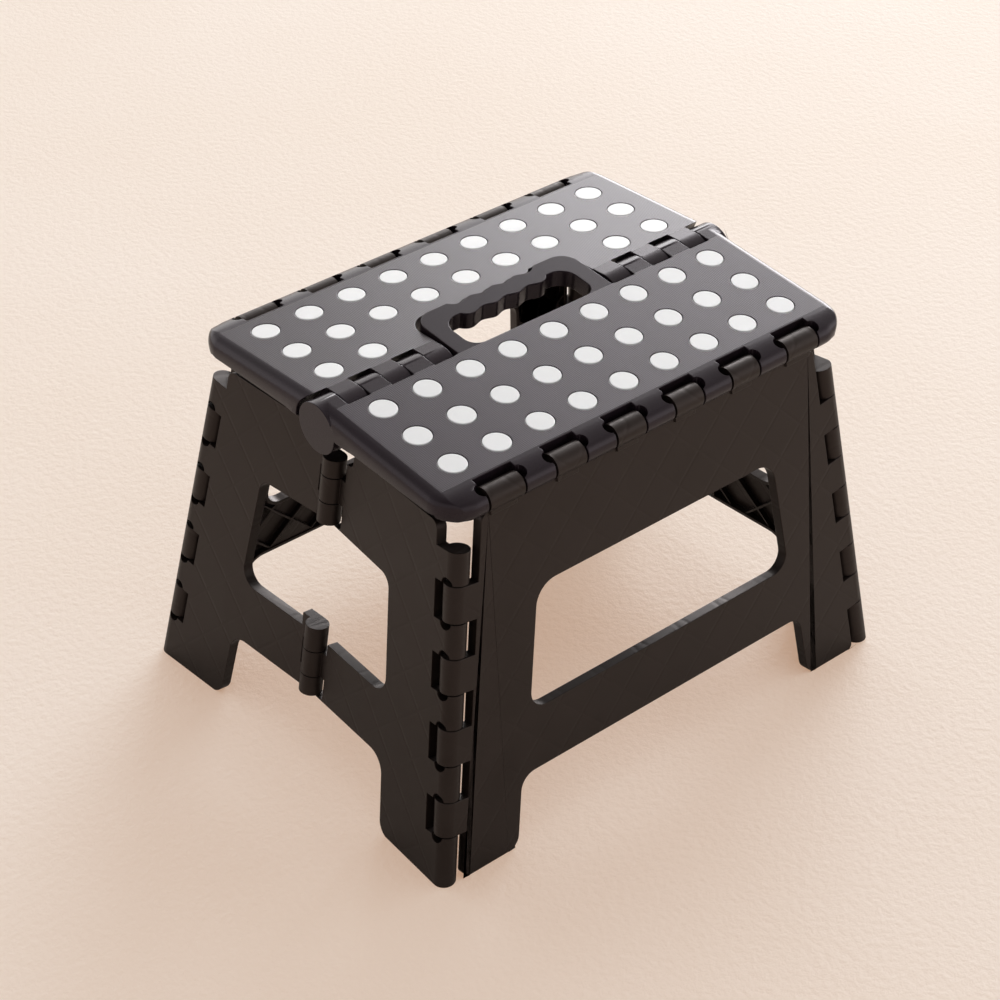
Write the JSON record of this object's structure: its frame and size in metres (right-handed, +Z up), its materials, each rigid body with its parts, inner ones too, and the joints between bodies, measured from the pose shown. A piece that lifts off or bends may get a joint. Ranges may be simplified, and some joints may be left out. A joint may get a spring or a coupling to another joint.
{
  "type": "folding step stool",
  "caption": "Folding plastic step stool: hinged two-piece top with a carry handle and grip dots, windowed legs and two-part end panels that fold inward",
  "frame": {"origin": "middle of the footprint, on the floor", "axes": "+Z up, X along the ridge between the top's two halves, the half with the carry handle on the -Y side"},
  "size_m": [0.3234, 0.2544, 0.2289],
  "materials": {
    "shell": "dark brown-black moulded plastic, finely grained on the top, satin on the sides",
    "grip": "soft white grip dots, matt"
  },
  "bodies": {
    "top_front": {"top_front": "shell", "dots_front_1": "grip", "dots_front_2": "grip", "dots_front_3": "grip", "dots_front_4": "grip", "dots_front_5": "grip", "dots_front_6": "grip", "dots_front_7": "grip", "dots_front_8": "grip", "dots_front_9": "grip"},
    "top_rear": {"top_rear": "shell", "dots_rear_1": "grip", "dots_rear_2": "grip", "dots_rear_3": "grip", "dots_rear_4": "grip", "dots_rear_5": "grip", "dots_rear_6": "grip", "dots_rear_7": "grip", "dots_rear_8": "grip", "dots_rear_9": "grip"},
    "leg_front": {"leg_front": "shell"},
    "leg_rear": {"leg_rear": "shell"},
    "end_left_front": {"end_left_front": "shell"},
    "end_left_rear": {"end_left_rear": "shell"},
    "end_right_front": {"end_right_front": "shell"},
    "end_right_rear": {"end_right_rear": "shell"}
  },
  "joints": [
    {"name": "top_front_hinge", "type": "hinge", "parent": "leg_front", "child": "top_front", "pos_m": [0, -0.0985, 0.21248], "axis": [1, 0, 0], "range_deg": [-2.96, 74.78]},
    {"name": "corner_left_front", "type": "hinge", "parent": "leg_front", "child": "end_left_front", "pos_m": [-0.1552, -0.1207, 0], "axis": [-0.1473, -0.1271, -0.9809], "range_deg": [-3.45, 86.05]},
    {"name": "middle_left", "type": "hinge", "parent": "end_left_front", "child": "end_left_rear", "pos_m": [-0.15473, 0, 0], "axis": [0.1409, 0, 0.99], "range_deg": [-6.77, 169.99]},
    {"name": "corner_left_rear", "type": "hinge", "parent": "end_left_rear", "child": "leg_rear", "pos_m": [-0.1552, 0.1207, 0], "axis": [-0.1473, 0.1271, -0.9809], "range_deg": [-3.45, 86.05]},
    {"name": "top_rear_hinge", "type": "hinge", "parent": "leg_rear", "child": "top_rear", "pos_m": [0, 0.0985, 0.21248], "axis": [-1, 0, 0], "range_deg": [-3.01, 74.83]},
    {"name": "corner_right_front", "type": "hinge", "parent": "leg_front", "child": "end_right_front", "pos_m": [0.1552, -0.1207, 0], "axis": [-0.1473, 0.1271, 0.9809], "range_deg": [-3.45, 86.05]},
    {"name": "corner_right_rear", "type": "hinge", "parent": "leg_rear", "child": "end_right_rear", "pos_m": [0.1552, 0.1207, 0], "axis": [0.1473, 0.1271, -0.9809], "range_deg": [-3.45, 86.05]}
  ],
  "couplings": [
    {"joint": "corner_left_front", "follows": "top_front_hinge", "ratio": 1.1501},
    {"joint": "middle_left", "follows": "top_front_hinge", "ratio": 2.2726},
    {"joint": "corner_left_rear", "follows": "top_front_hinge", "ratio": 1.1501},
    {"joint": "top_rear_hinge", "follows": "top_front_hinge", "ratio": 1},
    {"joint": "corner_right_front", "follows": "top_front_hinge", "ratio": 1.1501},
    {"joint": "corner_right_rear", "follows": "top_front_hinge", "ratio": 1.1501}
  ]
}
